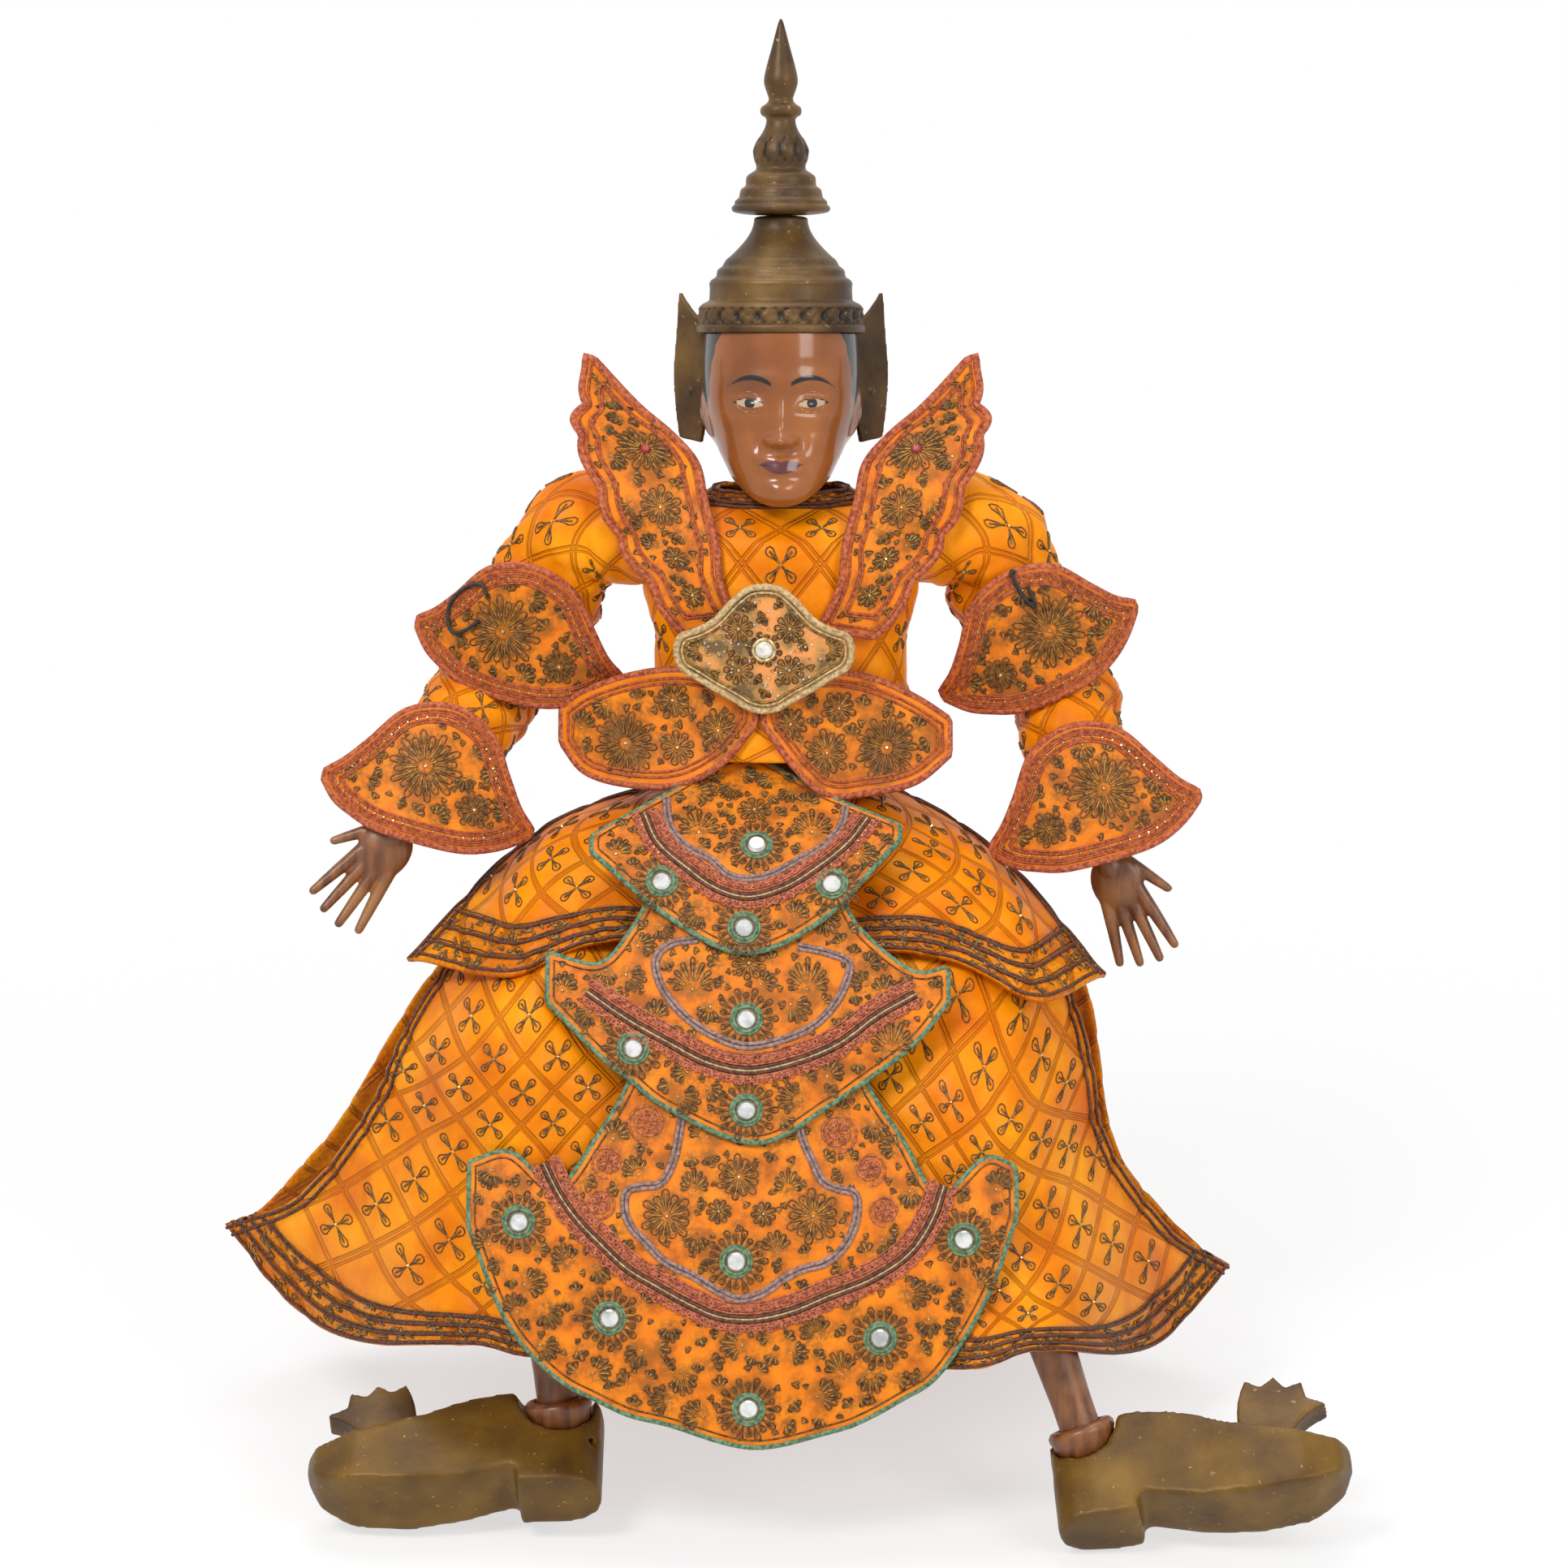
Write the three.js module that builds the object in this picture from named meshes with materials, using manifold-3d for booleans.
// A carved and costumed marionette of a crowned prince, hanging limp by the tie behind its chest.
// Millimetres, +Z up. The figure faces -Y and its own left side is +X. Its limbs are turned wood on pins,
// and its costume is quilted cloth with stiff flaps. The origin is the ring of the back string tie.
import * as THREE from "three";
import { mergeVertices } from "three/addons/utils/BufferGeometryUtils.js";
import Module from "manifold-3d";

const wasm = await Module();
wasm.setup();

// Driving sizes. Points are measured from the hip dowel: Y and Z from its axis, X from near its middle.
const gap = 0.35; // clearance between neighbouring pieces
const clothWall = 2; // quilted cloth with its lining
const flapWall = 2.4; // stiff embroidered flap
const pinRadius = 1.6;
const tongueWidth = 4.6; // the middle leaf of a limb joint
const through = 200; // longer than any bore

const centre = 5; // the trunk's middle in X
const ringAt = [centre, 58, 140];
const waistAt = [centre, 6, 72];
const nodAt = [centre, 14, 176];

const limbs = {
  upperArm: 9,
  forearm: 8,
  thigh: 15,
  shin: 13,
};
const arms = {
  right: {
    side: -1,
    shoulder: [-72, 15, 150],
    elbow: [-122, 20, 67],
    wrist: [-149, -38, 28],
    tip: [-186, -50, -16],
  },
  left: {
    side: 1,
    shoulder: [82, 15, 150],
    elbow: [126, 20, 66],
    wrist: [139, -33, 15],
    tip: [163, -42, -38],
  },
};
const legs = {
  right: { side: -1, hip: [-30, 0, 0], knee: [-106, -102, -54], ankle: [-85, -138, -213] },
  left: { side: 1, hip: [40, 0, 0], knee: [84, -104, -84], ankle: [133, -152, -218] },
};
// Each shoe lies over on its outer side: the way its toe points, and the way its top points.
const shoePose = {
  right: { toe: [-1, -0.02, -0.05], top: [0, 0.9, 0.44] },
  left: { toe: [0.98, 0, 0.2], top: [-0.05, 0.84, 0.54] },
};

const V = (p) => new THREE.Vector3(...p);
const toward = (a, b) => V(b).sub(V(a)).normalize();
const between = (a, b, t) => V(a).lerp(V(b), t);

const looks = {
  wood: { color: 0x8a5632, roughness: 0.4 },
  face: { color: 0x9a5a2c, roughness: 0.15 },
  gilt: { color: 0x7d6336, roughness: 0.45, metalness: 0.3 },
  cloth: { color: 0xf09010, roughness: 0.6 },
  flap: { color: 0xb07828, roughness: 0.7 },
  apron: { color: 0xd08a28, roughness: 0.7 },
  medallion: { color: 0xb59a60, roughness: 0.6 },
  glass: { color: 0xdddddd, roughness: 0.1 },
  metal: { color: 0x504538, roughness: 0.5, metalness: 0.7 },
};
const painted = ([name, look]) => [name, new THREE.MeshStandardMaterial(look)];
const materials = Object.fromEntries(Object.entries(looks).map(painted));

// A closed geometry as a solid, and a solid as a geometry.
function solid(shape) {
  const g = shape.clone();
  g.deleteAttribute("normal");
  if (g.getAttribute("uv")) g.deleteAttribute("uv");
  const merged = mergeVertices(g, 1e-4);
  return new wasm.Manifold(
    new wasm.Mesh({
      numProp: 3,
      vertProperties: new Float32Array(merged.attributes.position.array),
      triVerts: new Uint32Array(merged.index.array),
    }),
  );
}
function geometry(body) {
  const mesh = body.getMesh();
  const g = new THREE.BufferGeometry();
  g.setAttribute("position", new THREE.BufferAttribute(Float32Array.from(mesh.vertProperties), 3));
  g.setIndex(Array.from(mesh.triVerts));
  g.computeVertexNormals();
  return g;
}
function cut(body, ...tools) {
  return geometry(tools.reduce((rest, tool) => rest.subtract(solid(tool)), solid(body)));
}
function join(first, ...more) {
  return geometry(more.reduce((all, next) => all.add(solid(next)), solid(first)));
}
const moved = (g, p) => g.clone().translate(...p);
const placed = (g, matrix) => g.clone().applyMatrix4(matrix);

// A frame at a point whose Z looks along a direction and whose X lies as near as it can to an axis.
function frameAt(point, z, x) {
  const up = z.clone().normalize();
  const y = up.clone().cross(x).normalize();
  return new THREE.Matrix4().makeBasis(y.clone().cross(up), y, up).setPosition(point);
}

// A turned piece, from its radii and heights, and plain rods, blocks, slabs and balls.
function turned(profile, segments = 16) {
  const points = profile.map(([r, z]) => new THREE.Vector2(r, z));
  return new THREE.LatheGeometry(points, segments).rotateX(Math.PI / 2);
}
function rod(radius, length, axis = "x", segments = 8) {
  const g = new THREE.CylinderGeometry(radius, radius, length, segments);
  if (axis === "x") g.rotateZ(Math.PI / 2);
  if (axis === "z") g.rotateX(Math.PI / 2);
  return g;
}
const block = (x, y, z) => new THREE.BoxGeometry(x, y, z);
const slab = (shape, depth, curveSegments) =>
  new THREE.ExtrudeGeometry(shape, { depth, bevelEnabled: false, curveSegments });
const ball = (radius, across = 12) => new THREE.SphereGeometry(radius, across, Math.round(across * 0.7));

// A cloth wall on a surface: point(u, v) gives its middle, and the wall stands on both sides of it.
function clothShell(point, across, down, wall, round = false) {
  const columns = round ? across : across + 1;
  const middle = [];
  for (let j = 0; j <= down; j++) {
    const row = [];
    for (let i = 0; i < columns; i++) row.push(V(point(i / across, j / down)));
    middle.push(row);
  }
  const at = (i, j) => {
    const k = round ? (i + columns) % columns : Math.min(Math.max(i, 0), columns - 1);
    return middle[Math.min(Math.max(j, 0), down)][k];
  };
  const positions = [];
  for (const side of [0.5, -0.5]) {
    for (let j = 0; j <= down; j++) {
      for (let i = 0; i < columns; i++) {
        const along = at(i + 1, j).clone().sub(at(i - 1, j));
        const fall = at(i, j + 1).clone().sub(at(i, j - 1));
        const normal = along.cross(fall).normalize().multiplyScalar(side * wall);
        positions.push(...normal.add(at(i, j)).toArray());
      }
    }
  }
  const half = columns * (down + 1);
  const index = [];
  const quad = (a, b, c, d) => index.push(a, b, c, a, c, d);
  const last = round ? columns : columns - 1;
  for (let i = 0; i < last; i++) {
    const k = (i + 1) % columns;
    for (let j = 0; j < down; j++) {
      const [a, b, c, d] = [j * columns + i, j * columns + k, (j + 1) * columns + k, (j + 1) * columns + i];
      quad(d, c, b, a);
      quad(a + half, b + half, c + half, d + half);
    }
    const base = down * columns;
    quad(i, k, k + half, i + half);
    quad(base + k, base + i, base + i + half, base + k + half);
  }
  for (let j = 0; j < down && !round; j++) {
    const [a, b] = [j * columns, (j + 1) * columns];
    quad(b, a, a + half, b + half);
    quad(a + last, b + last, b + last + half, a + last + half);
  }
  const g = new THREE.BufferGeometry();
  g.setAttribute("position", new THREE.BufferAttribute(Float32Array.from(positions), 3));
  g.setIndex(index);
  return volume(g) < 0 ? flipped(g) : g;
}
function flipped(g) {
  const turnedOver = g.clone();
  turnedOver.setIndex(Array.from(g.index.array).reverse());
  return turnedOver;
}
function volume(g) {
  const [p, n] = [g.attributes.position, g.index];
  let sum = 0;
  const at = (i) => new THREE.Vector3().fromBufferAttribute(p, n.getX(i));
  for (let i = 0; i < n.count; i += 3) sum += at(i).dot(at(i + 1).cross(at(i + 2)));
  return sum;
}

// A smooth surface through rows of points that run from the top of a cloth to its hem.
function net(rows) {
  const lines = rows.map((row) => new THREE.CatmullRomCurve3(row.map(V), false, "centripetal"));
  return (u, v) => {
    const column = lines.map((line) => line.getPoint(u));
    return new THREE.CatmullRomCurve3(column, false, "centripetal").getPoint(v).toArray();
  };
}

// A flat panel's outline as stations [x, top, bottom], read off between them.
function outline(stations) {
  const first = stations[0][0];
  const span = stations[stations.length - 1][0] - first;
  return (u, v) => {
    const x = first + u * span;
    let k = 1;
    while (k < stations.length - 1 && stations[k][0] < x) k++;
    const [a, b] = [stations[k - 1], stations[k]];
    const t = (x - a[0]) / (b[0] - a[0]);
    const top = a[1] + t * (b[1] - a[1]);
    const bottom = a[2] + t * (b[2] - a[2]);
    return [x, top + v * (bottom - top)];
  };
}

const marionette = new THREE.Group();
const figure = new THREE.Group();
figure.position.set(...ringAt.map((x) => -x));
marionette.add(figure);
function add(name, g, look, matrix) {
  const mesh = new THREE.Mesh(matrix ? placed(g, matrix.clone().invert()) : g, materials[look]);
  mesh.name = name;
  if (matrix) mesh.applyMatrix4(matrix);
  figure.add(mesh);
}

// Trunk: the chest block with its neck socket, waist slot, shoulder bores and tie bore.
const chest = { width: 100, depth: 46, bottom: 60, top: 153, at: [centre, 12, 0] };
const neck = { peg: 8, column: 11, ball: 9, pegFoot: 146 };
const waistTongue = { width: 10, radius: 9 };
const shoulderPeg = { radius: 3.2, disc: 6, foot: 40 };
const tie = { shank: 2, depth: 28, ring: 5, wire: 1.4 };
function shoulderPegs(grown) {
  return Object.values(arms).map(({ side, shoulder }) => {
    const foot = centre + side * shoulderPeg.foot;
    const middle = [(foot + shoulder[0]) / 2, shoulder[1], shoulder[2]];
    return moved(rod(shoulderPeg.radius + grown, Math.abs(shoulder[0] - foot) + grown, "x", 10), middle);
  });
}
function chestBlock() {
  const waist = [[0, chest.bottom], [0.6, chest.bottom], [0.66, 80], [0.78, 105]];
  const shoulders = [[0.98, 128], [1, 139], [0.82, 147], [0.42, chest.top], [0, chest.top]];
  const body = turned([...waist, ...shoulders], 20);
  body.scale(chest.width / 2, chest.depth / 2, 1);
  body.translate(...chest.at);
  const socketDepth = 40;
  const socketMiddle = neck.pegFoot - gap + socketDepth / 2;
  const socket = moved(rod(neck.peg + gap, socketDepth, "z", 16), [nodAt[0], nodAt[1], socketMiddle]);
  const slotTop = waistAt[2] + waistTongue.radius + gap;
  const slotDepth = slotTop - chest.bottom + 10;
  const slot = moved(block(waistTongue.width + 2 * gap, chest.depth * 2, slotDepth), [
    centre,
    0,
    slotTop - slotDepth / 2,
  ]);
  const pinBore = moved(rod(pinRadius + gap, through), waistAt);
  const tieFoot = [ringAt[0], ringAt[1] - tie.depth, ringAt[2]];
  const tieBore = moved(rod(tie.shank + gap, 2 * tie.depth, "y"), tieFoot);
  return cut(body, socket, slot, pinBore, tieBore, ...shoulderPegs(gap));
}
add("chest_block", chestBlock(), "wood");
add("waist_pin", moved(rod(pinRadius, 60), waistAt), "metal");

// The pelvis block hangs on the waist pin by its tongue, and the hip dowel runs through it.
const pelvis = { crotch: 36, crotchDepth: 34, width: 70, depth: 44, top: 46, shelf: 18, bottom: -20 };
const hipDowel = { radius: 3, head: 6, headLength: 3 };
const hipFlat = 0.9; // each thigh's ball is flat beyond this share of its radius
function pelvisBlock() {
  const crotchHeight = pelvis.shelf - pelvis.bottom + 2;
  const crotchAt = [centre, 0, pelvis.bottom + crotchHeight / 2];
  const crotch = moved(block(pelvis.crotch, pelvis.crotchDepth, crotchHeight), crotchAt);
  const swell = [[0.9, pelvis.shelf], [1, pelvis.shelf + 8], [0.96, pelvis.top - 8], [0.7, pelvis.top]];
  const shelf = turned([[0, pelvis.shelf], ...swell, [0, pelvis.top]], 20);
  shelf.scale(pelvis.width / 2, pelvis.depth / 2, 1);
  const height = waistAt[2] - pelvis.top + 4;
  const leaf = moved(block(waistTongue.width, 14, height), [centre, waistAt[1], waistAt[2] - height / 2]);
  const eye = moved(rod(waistTongue.radius, waistTongue.width, "x", 16), waistAt);
  const body = join(crotch, moved(shelf, [centre, 0, 0]), leaf, eye);
  return cut(body, rod(hipDowel.radius + gap, through), moved(rod(pinRadius + gap, through), waistAt));
}
add("pelvis_block", pelvisBlock(), "wood");
function hipDowelShape() {
  const reach = limbs.thigh * hipFlat + gap;
  const start = legs.right.hip[0] - reach;
  const end = legs.left.hip[0] + reach;
  const body = moved(rod(hipDowel.radius, end - start), [(start + end) / 2, 0, 0]);
  const heads = [start - hipDowel.headLength / 2, end + hipDowel.headLength / 2];
  return join(body, ...heads.map((x) => moved(rod(hipDowel.head, hipDowel.headLength), [x, 0, 0])));
}
add("hip_dowel", hipDowelShape(), "wood");

// The ring of the back string tie: a screw eye in the chest.
function tieRing() {
  const ring = new THREE.TorusGeometry(tie.ring, tie.wire, 6, 14).rotateY(Math.PI / 2);
  const length = tie.depth - tie.ring + tie.wire;
  const shank = moved(rod(tie.shank, length, "y"), [0, -tie.depth + length / 2, 0]);
  return moved(join(ring, shank), ringAt);
}
add("back_tie_ring", tieRing(), "metal");

// The neck peg turns in the chest and its ball carries the head.
function neckPeg() {
  const foot = neck.pegFoot - nodAt[2];
  const chestTop = chest.top + gap - nodAt[2];
  const ballRows = [-0.6, 0, 0.6].map((k) => [neck.ball * Math.cos(k), neck.ball * Math.sin(k)]);
  const column = [[neck.column, chestTop], [neck.column, -8], [7, -6.5]];
  const rows = [[0, foot], [neck.peg, foot], [neck.peg, chestTop], ...column, ...ballRows, [0, neck.ball]];
  return moved(turned(rows, 18), nodAt);
}
add("neck_peg", neckPeg(), "wood");

// The head leans back a little, and the crown stands on it.
const headLean = THREE.MathUtils.degToRad(9);
const headFrame = new THREE.Matrix4().makeRotationX(-headLean).setPosition(V(nodAt));
const head = { width: 66, depth: 70, crownSeat: 47, jaw: 22, chin: 26 };
const nose = { radius: 6.5, length: 20, height: 14 };
const lobe = { width: 3.5, depth: 6, height: 11, at: 12 };
function headShape() {
  const jawRows = [[0, -11], [0.5, -12], [0.72, -6], [0.88, 4]];
  const rows = [...jawRows, [0.98, 20], [1, 34], [0.97, head.crownSeat], [0, head.crownSeat]];
  const skull = turned(rows, 20);
  const p = skull.attributes.position;
  for (let i = 0; i < p.count; i++) {
    const [x, y, z] = [p.getX(i), p.getY(i), p.getZ(i)];
    const front = Math.max(-y, 0);
    const jaw = Math.max(0, Math.min(1, (4 - z) / 16));
    const forward = jaw * front;
    p.setXYZ(i, (x * head.width) / 2, (y * head.depth) / 2 - forward * head.jaw, z - forward * head.chin);
  }
  const cone = new THREE.ConeGeometry(nose.radius, nose.length, 4).rotateX(Math.PI / 2 - 0.25);
  const face = join(skull, moved(cone, [0, 2 - head.depth / 2, nose.height]));
  const ear = new THREE.SphereGeometry(1, 8, 6).scale(lobe.width, lobe.depth, lobe.height);
  const ears = [-1, 1].map((side) => moved(ear, [(side * head.width) / 2, 0, lobe.at]));
  return placed(join(face, ...ears), headFrame);
}
const headSocket = moved(ball(neck.ball + 2 * gap, 20), nodAt);
const neckRoom = turned([[0, -40], [26, -40], [13, -5], [0, -5]], 18);
add("head", cut(headShape(), headSocket, moved(neckRoom, nodAt)), "face", headFrame);

const crownTenon = 4;
const baseRows = [
  [0, 0], [36, 0], [37, 1.5], [37, 6], [34.5, 9], [29.5, 12], [29.5, 21], [27, 23], [26, 26], [23, 30],
  [17.5, 35], [13, 40], [11, 44], [11, 48],
];
const spireRows = [
  [11.4, 48], [20.5, 50], [20.5, 54], [17, 56], [17, 60], [14.5, 63], [14.5, 66], [10.3, 67], [11.6, 74],
  [9.5, 80], [6.5, 85], [6, 88], [8.6, 91], [8.6, 94], [4.8, 96], [7.5, 103], [6.8, 108], [0.8, 130],
  [0, 130],
];
function crownBase() {
  const body = turned([...baseRows, [0, 48]], 22);
  return cut(body, moved(rod(crownTenon + gap, 24, "z"), [0, 0, 48]));
}
function crownSpire() {
  const foot = 48 + gap;
  const rows = spireRows.map(([r, z], i) => [r, i === 0 ? foot : z]);
  return turned([[0, 38], [crownTenon, 38], [crownTenon, foot], ...rows], 14);
}
const crownLift = new THREE.Matrix4().makeTranslation(0, 0, head.crownSeat + gap);
const crownFrame = headFrame.clone().multiply(crownLift);
add("crown_base", placed(crownBase(), crownFrame), "gilt", crownFrame);
add("crown_spire", placed(crownSpire(), crownFrame), "gilt", crownFrame);

// Ear ornaments: thin carved leaves with pointed tops, pegged to the head behind the ears.
const earLeaf = { wall: 2.6, turn: 0.7, off: 8, back: 12, foot: 6, peg: 2, pegLength: 14, pegHeight: 22 };
function earOrnament(side) {
  const leaf = new THREE.Shape();
  leaf.moveTo(-7, -4);
  leaf.quadraticCurveTo(-12, 20, -9, 36);
  leaf.lineTo(-7, 58);
  leaf.quadraticCurveTo(2, 46, 9, 44);
  leaf.quadraticCurveTo(12, 20, 5, -6);
  const plate = slab(leaf, earLeaf.wall, 5);
  plate.translate(0, 0, -earLeaf.wall / 2).rotateX(Math.PI / 2);
  plate.rotateZ(side * earLeaf.turn + (side < 0 ? 0 : Math.PI));
  const reach = head.width / 2 + earLeaf.off;
  plate.translate(side * reach, earLeaf.back, earLeaf.foot);
  const pegMiddle = reach + 2 - earLeaf.pegLength / 2;
  const peg = moved(rod(earLeaf.peg, earLeaf.pegLength), [side * pegMiddle, earLeaf.back, earLeaf.pegHeight]);
  return placed(join(plate, peg), headFrame);
}
const sides = { right: -1, left: 1 };
for (const [name, side] of Object.entries(sides)) {
  const ornament = cut(earOrnament(side), headShape(), placed(crownBase(), crownFrame));
  add(`ear_ornament_${name}`, ornament, "gilt", headFrame);
}

// Jacket: one quilted shell round the chest, with holes for the shoulder pegs and the tie.
// Each row is a height, the ring's middle in Y, and its half width and half depth.
const jacketRows = [
  [157, 14, 26, 14],
  [150, 13, 46, 19],
  [140, 11, 58, 33],
  [115, 8, 58, 36],
  [95, 6, 53, 35],
  [75, 4, 53, 36],
  [60, 2, 57, 38],
  [50, 0, 61, 40],
];
const jacketMesh = { around: 24, down: jacketRows.length - 1 };
function jacketRing(v) {
  const k = Math.min(v * (jacketRows.length - 1), jacketRows.length - 1.0001);
  const [a, b] = [jacketRows[Math.floor(k)], jacketRows[Math.floor(k) + 1]];
  return a.map((x, i) => x + (k % 1) * (b[i] - x));
}
function jacketAt(u, v, grown = 0) {
  const [z, y, rx, ry] = jacketRing(v);
  const turn = u * 2 * Math.PI;
  return [centre + (rx + grown) * Math.sin(turn), y - (ry + grown) * Math.cos(turn), z];
}
const jacketFront = (height) => {
  const found = jacketRows.findIndex(([z]) => z <= height);
  const k = found < 0 ? jacketRows.length - 1 : Math.max(found, 1);
  const [a, b] = [jacketRows[k - 1], jacketRows[k]].map(([z, y, , ry]) => [z, y - ry]);
  return a[1] + ((a[0] - height) / (a[0] - b[0])) * (b[1] - a[1]);
};
const sleeveRadius = 23;
const armhole = { radius: sleeveRadius - 4, drop: 12, depth: 84 };
function armholes() {
  const bore = rod(armhole.radius, armhole.depth, "x", 16);
  return Object.values(arms).map(({ shoulder: [x, y, z] }) => moved(bore, [x, y, z - armhole.drop]));
}
function jacket() {
  const shell = clothShell((u, v) => jacketAt(u, v), jacketMesh.around, jacketMesh.down, clothWall, true);
  const tieHole = moved(rod(tie.shank + gap, 2 * tie.depth, "y"), ringAt);
  return cut(shell, tieHole, ...armholes());
}
add("jacket", jacket(), "cloth");

// Flaps that lie on the jacket's front: the collar wings, the hip flaps and the belt plaque.
const collarLift = (clothWall + flapWall) / 2 + gap;
const collarCurl = 0.0025; // how fast a lapel falls back from the middle
const lapelPress = 0.6; // a lapel bears on the jacket's curve, beside its middle
function collarWing(side) {
  const x = (reach) => centre + side * reach;
  const off = collarLift - lapelPress;
  const onFront = (reach, z) => [x(reach), jacketFront(z) - off + reach * reach * collarCurl, z];
  return net([
    [[x(82), 9, 214], [x(78), 9, 212]],
    [[x(83), 5, 196], [x(60), 6, 193]],
    [[x(86), 1, 187], [x(46), 5, 181]],
    [[x(81), -5, 172], [x(36), 1, 170]],
    [[x(73), -13, 152], [x(32), -12, 156]],
    [onFront(66, 137), onFront(27, 139)],
    [onFront(54, 121), onFront(25, 123)],
    [onFront(41, 101), onFront(17, 106)],
  ]);
}
for (const [name, side] of Object.entries(sides)) {
  add(`collar_${name}`, clothShell(collarWing(side), 4, 10, flapWall), "flap");
}
// Each station of a flap is a place in X with the heights of its top and its hem.
const hipFlapCurl = 0.0033;
const hipFlaps = {
  right: [[-88, 66, 52], [-78, 74, 42], [-58, 83, 39], [-37, 87, 41], [-20, 84, 50], [-6, 76, 66]],
  left: [[-2, 76, 66], [10, 84, 50], [24, 87, 38], [42, 84, 38], [62, 74, 41], [76, 64, 50]],
};
function hipFlap(stations) {
  const flat = outline(stations);
  return (u, v) => {
    const [x, z] = flat(u, v);
    const off = x - centre;
    return [x, jacketFront(z) - collarLift + off * off * hipFlapCurl, z];
  };
}
for (const [name, stations] of Object.entries(hipFlaps)) {
  add(`hip_flap_${name}`, clothShell(hipFlap(stations), 8, 4, flapWall), "flap");
}
const plaque = { at: [-2, 99], halfWidth: 37, halfHeight: 27, wall: 3, gem: 4 };
const plaqueBack = jacketFront(plaque.at[1] - plaque.halfHeight) - collarLift - flapWall / 2 - gap;
const plaqueFront = plaqueBack - plaque.wall;
function plaqueShape() {
  const { halfWidth: w, halfHeight: h } = plaque;
  const edge = new THREE.Shape();
  edge.moveTo(-w, 0);
  edge.quadraticCurveTo(-w * 0.45, h * 0.35, -w * 0.35, h * 0.75);
  edge.quadraticCurveTo(0, h * 1.25, w * 0.35, h * 0.75);
  edge.quadraticCurveTo(w * 0.45, h * 0.35, w, 0);
  edge.quadraticCurveTo(w * 0.6, -h * 0.6, w * 0.3, -h * 0.8);
  edge.quadraticCurveTo(0, -h * 1.2, -w * 0.3, -h * 0.8);
  edge.quadraticCurveTo(-w * 0.6, -h * 0.6, -w, 0);
  const plate = slab(edge, plaque.wall, 6);
  plate.rotateX(Math.PI / 2);
  return moved(plate, [plaque.at[0], plaqueFront + plaque.wall, plaque.at[1]]);
}
add("belt_plaque", plaqueShape(), "medallion");
const gemRows = [[0, 0], [plaque.gem, 0], [plaque.gem, 1], [plaque.gem * 0.6, 2.4], [0, 3]];
const gem = turned(gemRows, 12).rotateX(Math.PI / 2);
add("plaque_gem", moved(gem, [plaque.at[0], plaqueFront - gap, plaque.at[1]]), "glass");

// Aprons: three stiff tongues that hang from the waist over the lap, each over the next.
// The lap line is the middle of the lap seen from the side, in Y and Z.
const lapLine = [
  [-26, 57],
  [-31, 46],
  [-46, 33],
  [-70, 14],
  [-95, -15],
  [-115, -47],
  [-132, -82],
  [-152, -119],
  [-168, -160],
  [-178, -192],
];
const lapPoints = lapLine.map(([y, z]) => new THREE.Vector3(0, y, z));
const lap = new THREE.CatmullRomCurve3(lapPoints, false, "centripetal");
const lapLength = lap.getLength();
const apronStep = flapWall + gap + 0.6;
// Each station of an apron is a place in X, with how far down the lap its top and its hem lie.
const apronUpper = [[-73, 52, 60], [-42, 28, 88], [-10, 8, 104], [22, 28, 90], [54, 46, 54]];
const apronMiddle = [
  [-90, 104, 124],
  [-68, 108, 146],
  [-55, 92, 156],
  [-42, 70, 166],
  [-4, 62, 181],
  [24, 70, 166],
  [36, 92, 158],
  [60, 112, 140],
  [73, 110, 124],
];
const apronLower = [
  [-121, 190, 216],
  [-104, 186, 256],
  [-85, 200, 276],
  [-70, 180, 284],
  [-57, 158, 290],
  [-40, 112, 294],
  [-6, 104, 303],
  [24, 112, 297],
  [39, 156, 292],
  [54, 180, 284],
  [68, 203, 275],
  [88, 188, 244],
  [100, 192, 212],
];
const aprons = {
  apron_upper: { layer: 2, rows: 5, stations: apronUpper },
  apron_middle: { layer: 1, rows: 7, stations: apronMiddle },
  apron_lower: { layer: 0, rows: 8, stations: apronLower },
};
const apronCentre = -8;
const apronRise = 70; // the aprons part from each other over this length of the lap
const apronCurl = 0.0004;
function apronAt(layer) {
  return (x, s) => {
    const t = Math.min(s / lapLength, 1);
    const p = lap.getPointAt(t);
    const q = lap.getTangentAt(t);
    const lift = (layer - 2 + 2 * Math.min(1, s / apronRise)) * apronStep;
    const off = x - apronCentre;
    const back = off * off * apronCurl * t;
    return [x, p.y + q.z * lift + back, p.z - q.y * lift];
  };
}
// Small round mirrors are sewn on the aprons, each given by its apron and its place on the flat cloth.
const mirrors = {
  apron_upper: [[-5, 57], [-10, 94], [-44, 74], [26, 75]],
  apron_middle: [[-9, 131], [-55, 143], [-9, 168]],
  apron_lower: [[-101, 214], [79, 221], [-13, 229], [-64, 252], [45, 260], [-8, 288]],
};
const mirror = { radius: 4.2, wall: 2.4, sunk: 1.6 };
function mirrorDisc(place, [x, s]) {
  const at = V(place(x, s));
  const right = V(place(x + 3, s)).sub(V(place(x - 3, s)));
  const down = V(place(x, s + 3)).sub(V(place(x, s - 3)));
  const out = down.cross(right).normalize();
  const disc = rod(mirror.radius, mirror.wall, "z", 10);
  at.addScaledVector(out, (flapWall + mirror.wall) / 2 - mirror.sunk);
  return placed(disc, frameAt(at, out, right));
}
for (const [name, { layer, rows, stations }] of Object.entries(aprons)) {
  const flat = outline(stations);
  const place = apronAt(layer);
  const sheet = clothShell((u, v) => place(...flat(u, v)), 14, rows, flapWall);
  add(name, join(sheet, ...mirrors[name].map((at) => mirrorDisc(place, at))), "apron");
}

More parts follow.
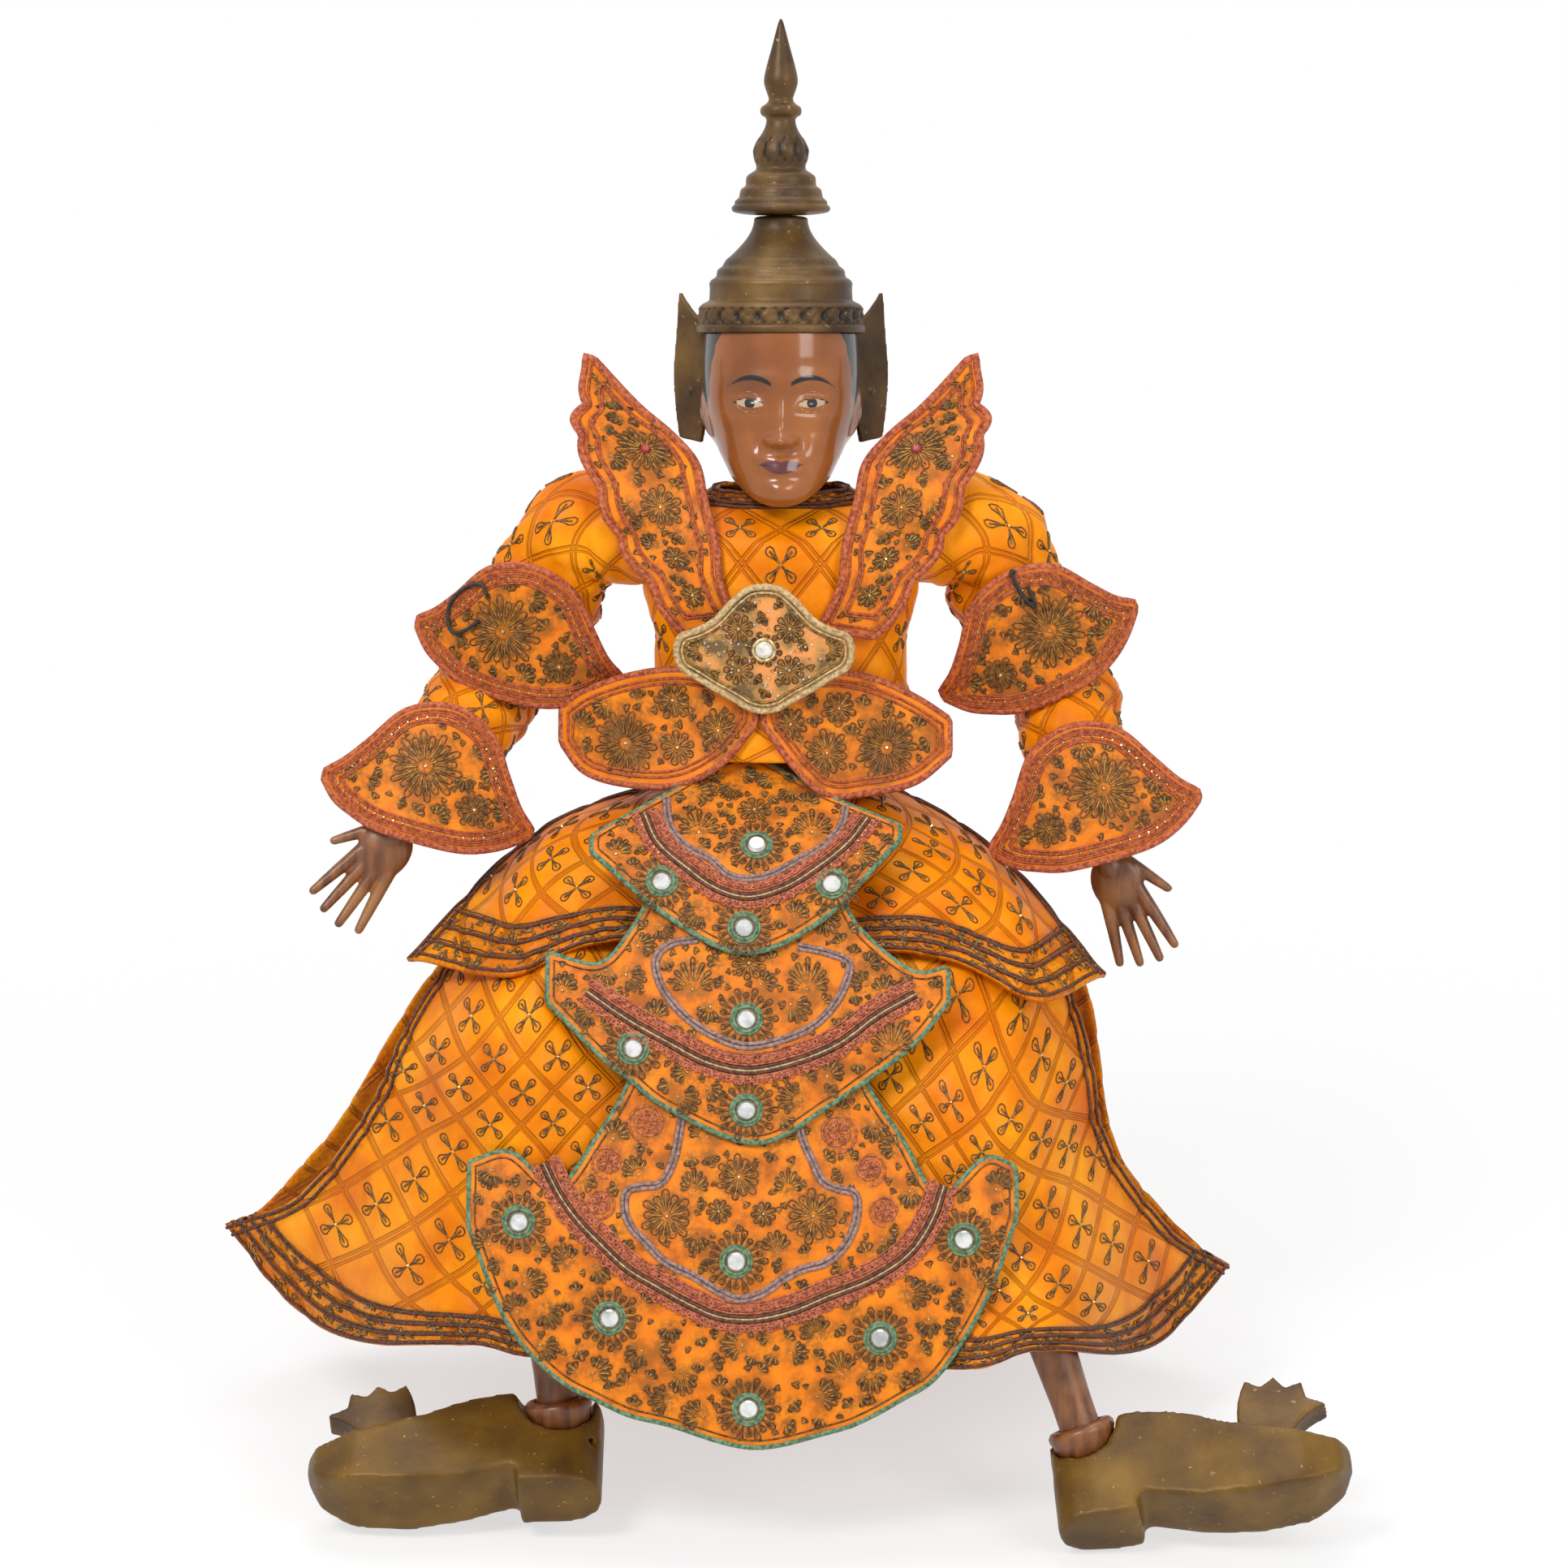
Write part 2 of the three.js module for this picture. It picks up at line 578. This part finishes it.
// The peplum lies over the thighs, and the skirt's front halves hang over the shins from under it.
// Their tops are sewn round the pelvis, at angles from the front, or under the peplum.
const waistSeam = 34;
const facetRoom = 0.2; // a round piece with few sides, under a cloth with fewer
function atWaist(degrees) {
  const turn = THREE.MathUtils.degToRad(degrees);
  const off = clothWall / 2 + gap + facetRoom;
  const x = (pelvis.width / 2 + off) * Math.sin(turn);
  return [centre + x, -(pelvis.depth / 2 + off) * Math.cos(turn), waistSeam];
}
const peplumNets = {
  peplum_right: [
    [-5, -45, -85, -122].map(atWaist),
    [[-3, -56, 10], [-50, -52, 14], [-92, -36, 14], [-96, 8, 10]],
    [[-7, -90, -28], [-60, -84, -14], [-106, -96, -25], [-152, -62, -28]],
  ],
  peplum_left: [
    [5, 45, 85, 122].map(atWaist),
    [[9, -56, 10], [52, -52, 12], [88, -38, 6], [94, 8, 2]],
    [[9, -90, -28], [56, -86, -18], [112, -100, -34], [142, -62, -34]],
  ],
};
// Room between each peplum and the skirt under it, where both fold.
const peplumRoom = { peplum_right: 4, peplum_left: 3.5 };
const peplums = Object.fromEntries(Object.entries(peplumNets).map(([name, rows]) => [name, net(rows)]));
function underPeplum(name, u) {
  const surface = peplums[name];
  const v = 0.82; // the skirt starts this far down the peplum
  const [at, right, down] = [V(surface(u, v)), V(surface(u + 0.02, v)), V(surface(u, v + 0.02))];
  const inward = right.sub(at).cross(down.sub(at)).normalize().multiplyScalar(clothWall + peplumRoom[name]);
  return at.addScaledVector(inward, at.z + inward.z > at.z ? -1 : 1).toArray();
}
const clothNets = {
  ...peplumNets,
  skirt_front_right: [
    [0.05, 0.35, 0.65, 0.95].map((u) => underPeplum("peplum_right", u)),
    [[-15, -102, -62], [-62, -108, -54], [-109, -126, -50], [-156, -64, -64]],
    [[-16, -118, -94], [-64, -127, -88], [-112, -130, -90], [-168, -66, -92]],
    [[-18, -138, -146], [-68, -148, -142], [-120, -144, -138], [-200, -48, -138]],
    [
      [-20, -150, -186], [-46, -155, -176], [-72, -165, -170], [-99, -164, -165], [-126, -158, -164],
      [-198, -62, -193], [-240, -14, -166],
    ],
  ],
  skirt_front_left: [
    [0.05, 0.35, 0.65, 0.95].map((u) => underPeplum("peplum_left", u)),
    [[11, -102, -62], [54, -110, -62], [94, -122, -76], [136, -62, -70]],
    [[10, -118, -94], [54, -130, -98], [98, -136, -112], [142, -66, -102]],
    [[8, -138, -146], [56, -149, -144], [108, -153, -146], [168, -50, -150]],
    [
      [6, -150, -186], [32, -160, -180], [58, -166, -174], [86, -172, -166.5], [112, -166.5, -163],
      [168, -66, -200], [202, -16, -184],
    ],
  ],
  skirt_back: [
    [-132, -156, 180, 156, 132].map(atWaist),
    [[-140, 14, -50], [-76, 52, -60], [centre, 60, -70], [84, 52, -60], [136, 14, -60]],
    [[-194, 6, -130], [-104, 64, -150], [centre, 74, -150], [96, 64, -150], [154, 6, -140]],
    [[-236, 2, -176], [-130, 72, -220], [centre, 84, -225], [110, 72, -222], [200, 4, -194]],
  ],
};
// Soft folds run down each cloth and grow towards its hem.
const folds = {
  peplum_right: { count: 3, depth: 3 },
  peplum_left: { count: 3, depth: 3 },
  skirt_front_right: { count: 4, depth: 3 },
  skirt_front_left: { count: 4, depth: 3 },
  skirt_back: { count: 7, depth: 7 },
};
function folded(surface, { count, depth }) {
  return (u, v) => {
    const [x, y, z] = surface(u, v);
    const wave = depth * v * v * Math.sin(Math.PI * u) * (1 - Math.cos(2 * Math.PI * count * u));
    return [x, y + wave, z];
  };
}
for (const [name, rows] of Object.entries(clothNets)) {
  const across = name === "skirt_back" ? 21 : 12;
  add(name, clothShell(folded(net(rows), folds[name]), across, 6, clothWall), "cloth");
}

// Limb joints: the fork above, the leaf below, and the pin through both.
function forkTools(at, axis, down, radius) {
  const frame = frameAt(V(at), down.clone().negate(), axis);
  const height = radius * 4;
  const slotTop = radius * 0.75 + 1;
  const slot = moved(block(tongueWidth + 2 * gap, radius * 4, height), [0, 0, slotTop - height / 2]);
  return [placed(slot, frame), placed(rod(pinRadius + gap, radius * 4), frame)];
}
function leaf(at, axis, down, radius) {
  const square = down.clone().addScaledVector(axis, -down.dot(axis));
  const frame = frameAt(V(at), square.negate(), axis);
  const length = radius + 6;
  const neckPiece = moved(block(tongueWidth, radius, length), [0, 0, -length / 2]);
  return placed(join(rod(radius * 0.75, tongueWidth, "x", 10), neckPiece), frame);
}
// A pin lies along its axis and ends inside the limb.
function pinFrame(at, axis) {
  const other = Math.abs(axis.z) < 0.8 ? new THREE.Vector3(0, 0, 1) : new THREE.Vector3(1, 0, 0);
  return frameAt(V(at), other.cross(axis).normalize(), axis);
}
const pinBore = (at, axis) => placed(rod(pinRadius + gap, through / 3), pinFrame(at, axis));
const pin = (at, axis, radius) => placed(rod(pinRadius, radius * 1.7), pinFrame(at, axis));
// A turned limb between two joints, with the radii of its swelling given as shares of its radius.
function limbBody(start, end, radius, startRadius, from, shares) {
  const length = V(start).distanceTo(V(end));
  const rows = [[0, -length - startRadius]];
  for (const k of [-60, -30, 0]) {
    const turn = THREE.MathUtils.degToRad(k);
    rows.push([startRadius * Math.cos(turn), -length + startRadius * Math.sin(turn)]);
  }
  shares.forEach((share, i) => {
    const t = (i + 1) / (shares.length + 1);
    rows.push([radius * share, -length + t * (length - from)]);
  });
  rows.push([radius * 0.8, -from], [0, -from]);
  const down = toward(start, end);
  return placed(turned(rows, 10), frameAt(V(start), down.clone().negate(), new THREE.Vector3(1, 0, 0)));
}

// Arms: link, upper arm, forearm with its carved bangles, hand, sleeve and flaps.
const hand = {
  width: 20,
  thick: 11,
  length: 28,
  finger: 2.4,
  fingerTip: 1.6,
  spread: 0.2,
  pitch: 4.4,
  thumb: 22,
  thumbRoot: 2.8,
  thumbLean: 0.75,
};
function armAxes({ side, shoulder, elbow, wrist }) {
  const upper = toward(shoulder, elbow);
  const fore = toward(elbow, wrist);
  const bend = upper.clone().cross(fore).normalize();
  const lift = new THREE.Vector3(1, 0, 0).cross(upper).normalize().multiplyScalar(side);
  return { upper, fore, bend, lift };
}
function shoulderLink(arm, index) {
  const { upper, lift } = armAxes(arm);
  const frame = frameAt(V(arm.shoulder), upper.clone().negate(), lift);
  const disc = placed(rod(shoulderPeg.disc, tongueWidth, "x", 10), frame);
  const pivot = placed(rod(pinRadius, limbs.upperArm * 1.8), frame);
  return join(shoulderPegs(0)[index], disc, pivot);
}
function upperArm(arm) {
  const { upper, bend, lift } = armAxes(arm);
  const r = limbs.upperArm;
  const body = limbBody(arm.shoulder, arm.elbow, r, r, -r * 0.8, [0.95, 1, 0.95]);
  const slotFrame = frameAt(V(arm.shoulder), upper.clone().negate(), lift);
  const room = shoulderPeg.disc + gap + 0.6;
  const slot = placed(moved(block(tongueWidth + 2 * gap, r * 4, r * 4), [0, 0, r * 2 - room]), slotFrame);
  const bore = placed(rod(pinRadius + gap, r * 4), slotFrame);
  return cut(body, slot, bore, ...pegRooms(arm, lift), ...forkTools(arm.elbow, bend, upper, r));
}
// Room in the arm for the chest's peg, at rest and as the arm lifts about its pivot.
function pegRooms(arm, lift) {
  const length = 40;
  const bore = moved(rod(shoulderPeg.radius + 3, length, "x"), [(-arm.side * length) / 2, 0, 0]);
  return [0, 25, 50].map((degrees) => {
    const turn = new THREE.Matrix4().makeRotationAxis(lift, THREE.MathUtils.degToRad(degrees));
    return placed(bore, turn.setPosition(V(arm.shoulder)));
  });
}
function forearm(arm) {
  const { fore, bend } = armAxes(arm);
  const r = limbs.forearm;
  const body = limbBody(arm.elbow, arm.wrist, r, r * 0.75, limbs.upperArm + 1.5, [0.9, 1.02, 0.9, 1.05, 0.9]);
  const solidBody = join(body, leaf(arm.elbow, bend, fore, limbs.upperArm));
  return cut(solidBody, pinBore(arm.elbow, bend), ...forkTools(arm.wrist, bend, fore, r * 0.75));
}
function handShape(arm) {
  const { bend } = armAxes(arm);
  const down = toward(arm.wrist, arm.tip);
  const r = limbs.forearm * 0.75;
  const frame = frameAt(V(arm.wrist), down.clone().negate(), bend);
  const palmTop = r + 1.5;
  const knuckles = palmTop + hand.length * 0.72;
  const fingerReach = V(arm.wrist).distanceTo(V(arm.tip)) - knuckles;
  const palm = new THREE.SphereGeometry(1, 8, 6).scale(hand.width / 2, hand.thick / 2, hand.length / 2);
  const pieces = [placed(moved(palm, [0, 0, -palmTop - hand.length / 2]), frame)];
  for (let k = 0; k < 4; k++) {
    const off = k - 1.5;
    const length = fingerReach - Math.abs(k - 1.3) * hand.finger;
    const finger = new THREE.CylinderGeometry(hand.finger, hand.fingerTip, length, 6).rotateX(Math.PI / 2);
    finger.translate(0, 0, -length / 2).rotateY(-off * hand.spread);
    pieces.push(placed(moved(finger, [off * hand.pitch, 0, -knuckles]), frame));
  }
  const thumb = new THREE.CylinderGeometry(hand.thumbRoot, hand.fingerTip, hand.thumb, 6);
  thumb.rotateX(Math.PI / 2).translate(0, 0, -hand.thumb / 2).rotateY(arm.side * hand.thumbLean);
  pieces.push(placed(moved(thumb, [-arm.side * 7, -2, -palmTop - r]), frame));
  pieces.push(leaf(arm.wrist, bend, down, r));
  return cut(join(...pieces), pinBore(arm.wrist, bend));
}
// The sleeve runs from the armhole round the elbow and ends inside the cuff.
const sleeveEnd = 0.72;
const sleeveTaper = 4;
const sleevePuff = 2.5;
function sleeveSurface(arm) {
  const line = new THREE.CatmullRomCurve3(
    [
      V([centre + arm.side * 57, arm.shoulder[1] - 1, arm.shoulder[2] - 10]),
      between(arm.shoulder, arm.elbow, 0.16),
      between(arm.shoulder, arm.elbow, 0.55),
      between(arm.shoulder, arm.elbow, 0.95),
      between(arm.elbow, arm.wrist, 0.4),
      between(arm.elbow, arm.wrist, sleeveEnd),
    ],
    false,
    "centripetal",
  );
  return (u, v) => {
    const p = line.getPointAt(v);
    const t = line.getTangentAt(v);
    const x = new THREE.Vector3(0, 1, 0).cross(t).normalize();
    const y = t.clone().cross(x);
    const turn = 2 * Math.PI * u;
    const wrinkle = 0.44 * Math.sin(v * 40 + Math.cos(turn));
    const puff = sleevePuff * Math.sin(Math.PI * v) * (1 + wrinkle);
    const radius = sleeveRadius - sleeveTaper * v + puff;
    p.addScaledVector(x, radius * Math.cos(turn));
    return p.addScaledVector(y, radius * Math.sin(turn)).toArray();
  };
}
function jacketEnvelope() {
  const body = new THREE.CylinderGeometry(1, 1, 1, jacketMesh.around, jacketMesh.down);
  const p = body.attributes.position;
  for (let i = 0; i < p.count; i++) {
    const v = 0.5 - p.getY(i);
    const radius = Math.hypot(p.getX(i), p.getZ(i));
    const turn = Math.atan2(p.getX(i), -p.getZ(i));
    const [x, y, z] = jacketAt(turn / (2 * Math.PI), v, clothWall / 2 + gap);
    const middle = jacketRing(v)[1];
    p.setXYZ(i, centre + (x - centre) * radius, middle + (y - middle) * radius, z + (v < 0.01 ? 1 : 0));
  }
  return volume(body) < 0 ? flipped(body) : body;
}
// A petal flap bends round the front of a sleeve, with its two horns standing off to the sides.
const petal = [
  [-45, -4, 0],
  [-36, -16, 14],
  [-20, -24, 26],
  [0, -27, 31],
  [20, -24, 26],
  [36, -14, 12],
  [45, -3, 3],
];
const petalCurl = 1 / 130;
const petalMesh = { across: 10, down: 3 };
function petalFlap(at, down, lean, reach) {
  const front = new THREE.Vector3(0, -1, 0.25);
  const out = front.clone().addScaledVector(down, -down.dot(front)).normalize();
  const frame = frameAt(at, down.clone().negate(), out.clone().cross(down));
  const spin = new THREE.Matrix4().makeRotationY(lean);
  const flat = outline(petal);
  return (u, v) => {
    const [x, s] = flat(u, v);
    const bow = reach - x * x * petalCurl;
    return new THREE.Vector3(x, -bow, -s).applyMatrix4(spin).applyMatrix4(frame).toArray();
  };
}
const flapAt = { arm: 0.6, cuff: 0.7 };
const flapLean = { right: -0.3, left: 0.06 };
// How far each flap stands beyond the sleeve's end radius.
const flapSeat = { right: { arm: 5.05, cuff: -3.35 }, left: { arm: 3.9, cuff: -2.5 } };
Object.entries(arms).forEach(([name, arm], index) => {
  const { upper, fore, bend } = armAxes(arm);
  const upperFrame = frameAt(V(arm.shoulder), upper.clone().negate(), bend);
  const foreFrame = frameAt(V(arm.elbow), fore.clone().negate(), bend);
  add(`shoulder_link_${name}`, shoulderLink(arm, index), "wood");
  add(`upper_arm_${name}`, upperArm(arm), "wood", upperFrame);
  add(`forearm_${name}`, forearm(arm), "wood", foreFrame);
  add(`elbow_pin_${name}`, pin(arm.elbow, bend, limbs.upperArm), "metal", foreFrame);
  add(`hand_${name}`, handShape(arm), "wood", frameAt(V(arm.wrist), fore.clone().negate(), bend));
  add(`wrist_pin_${name}`, pin(arm.wrist, bend, limbs.forearm * 0.75), "metal", foreFrame);
  const sleeve = clothShell(sleeveSurface(arm), 14, 12, clothWall, true);
  add(`sleeve_${name}`, cut(sleeve, jacketEnvelope()), "cloth");
  const armFlap = petalFlap(
    between(arm.shoulder, arm.elbow, flapAt.arm),
    upper,
    flapLean[name],
    sleeveRadius + flapSeat[name].arm,
  );
  const petalShell = (surface) => clothShell(surface, petalMesh.across, petalMesh.down, flapWall);
  add(`arm_flap_${name}`, petalShell(armFlap), "flap", upperFrame);
  const hang = new THREE.Vector3(arm.side * 0.3, -0.42, -1).normalize();
  const cuff = petalFlap(between(arm.elbow, arm.wrist, flapAt.cuff), hang, 0, sleeveRadius + flapSeat[name].cuff);
  add(`cuff_${name}`, petalShell(cuff), "flap", foreFrame);
});

// Legs: thigh on the dowel, shin on the knee pin, shoe with its carved toe ornament.
const shoe = { back: 17, toe: 104, width: 35, top: 46, heel: 34, above: 14 };
const ornament = { at: 62, sunk: 17, width: 12 };
const shinFoot = 9;
function legAxes({ hip, knee, ankle }) {
  const thigh = toward(hip, knee);
  const shin = toward(knee, ankle);
  return { thigh, shin, bend: thigh.clone().cross(shin).normalize() };
}
function thighShape(leg) {
  const { thigh, bend } = legAxes(leg);
  const r = limbs.thigh;
  const body = join(limbBody(leg.hip, leg.knee, r, limbs.shin, 0, [1.02, 1, 0.88]), moved(ball(r), leg.hip));
  const flat = r * hipFlat;
  const inner = moved(block(20, 4 * r, 4 * r), [leg.hip[0] - leg.side * (flat + 10), 0, 0]);
  const headRoom = moved(rod(hipDowel.head + 2, 40), [leg.hip[0] + leg.side * (flat + 20), 0, 0]);
  const bore = rod(hipDowel.radius + gap, through);
  return cut(body, bore, inner, headRoom, ...forkTools(leg.knee, bend, thigh, limbs.shin));
}
function shinShape(leg) {
  const { shin, bend } = legAxes(leg);
  const r = limbs.shin;
  const body = limbBody(leg.knee, leg.ankle, r, shinFoot, r + 1.5, [0.68, 0.78, 0.9, 0.98]);
  return cut(join(body, leaf(leg.knee, bend, shin, r)), pinBore(leg.knee, bend), pinBore(leg.ankle, bend));
}
function shoeFrame(name) {
  const { toe, top } = shoePose[name];
  return frameAt(V(legs[name].ankle), V(top), V(toe));
}
// A shoe's sole outline swept up to its top, hollowed for the ankle.
function shoeShape(name) {
  const { back, toe, width: w, top, heel } = shoe;
  const side = new THREE.Shape();
  side.moveTo(-back, -top);
  side.lineTo(-back, -6);
  side.quadraticCurveTo(-back, 0, -back + 6, 0);
  side.lineTo(20, 0);
  side.quadraticCurveTo(40, -2, 56, -12);
  side.quadraticCurveTo(90, -22, toe, -24);
  side.quadraticCurveTo(toe + 4, -38, toe - 16, -44);
  side.quadraticCurveTo(50, -50, 20, -38);
  side.lineTo(heel - back, -40);
  side.lineTo(heel - back, -top);
  const body = slab(side, w, 3).translate(0, 0, -w / 2).rotateX(Math.PI / 2);
  const plan = new THREE.Shape();
  plan.moveTo(-back - 1, 0);
  plan.quadraticCurveTo(-back, w * 0.42, 0, w * 0.42);
  plan.quadraticCurveTo(40, w * 0.42, 60, w * 0.5);
  plan.quadraticCurveTo(toe, w * 0.6, toe + 2, 0);
  plan.quadraticCurveTo(toe, -w * 0.6, 60, -w * 0.5);
  plan.quadraticCurveTo(40, -w * 0.42, 0, -w * 0.42);
  plan.quadraticCurveTo(-back, -w * 0.42, -back - 1, 0);
  const column = slab(plan, 2 * top, 3).translate(0, 0, -1.5 * top);
  const trimmed = geometry(solid(body).intersect(solid(column)));
  return placed(moved(trimmed, [0, 0, shoe.above]), shoeFrame(name));
}
// Room for the shin's round foot: a pit about the ankle that widens along the shin.
function anklePit(leg) {
  const { shin, bend } = legAxes(leg);
  const rows = [[0, -10.2], [6, -8.5], [10, -3], [13.5, 8], [22, 40], [0, 40]];
  return placed(turned(rows, 16), frameAt(V(leg.ankle), shin.clone().negate(), bend));
}
function toeOrnament(name) {
  const curl = new THREE.Shape();
  curl.moveTo(0, 0);
  curl.quadraticCurveTo(-4, 16, 4, 30);
  curl.lineTo(10, 26);
  curl.lineTo(16, 30);
  curl.lineTo(20, 24);
  curl.lineTo(27, 26);
  curl.lineTo(28, 18);
  curl.lineTo(36, 14);
  curl.quadraticCurveTo(22, 10, 18, -3);
  const plate = slab(curl, ornament.width, 6).translate(0, 0, -ornament.width / 2).rotateX(Math.PI / 2);
  return placed(moved(plate, [ornament.at, 0, shoe.above - ornament.sunk]), shoeFrame(name));
}
for (const [name, leg] of Object.entries(legs)) {
  const { thigh, shin, bend } = legAxes(leg);
  const kneeFrame = frameAt(V(leg.knee), shin.clone().negate(), bend);
  add(`thigh_${name}`, thighShape(leg), "wood", frameAt(V(leg.hip), thigh.clone().negate(), bend));
  add(`knee_pin_${name}`, pin(leg.knee, bend, limbs.shin), "metal", kneeFrame);
  add(`shin_${name}`, shinShape(leg), "wood", kneeFrame);
  const whole = shoeShape(name);
  add(`shoe_${name}`, cut(whole, anklePit(leg), pinBore(leg.ankle, bend)), "gilt", shoeFrame(name));
  add(`ankle_pin_${name}`, pin(leg.ankle, bend, 10), "metal", kneeFrame);
  const overTop = V(shoePose[name].top).normalize().multiplyScalar(gap);
  const seat = moved(whole, overTop.toArray());
  add(`toe_ornament_${name}`, cut(toeOrnament(name), seat), "gilt", shoeFrame(name));
}

export default marionette;
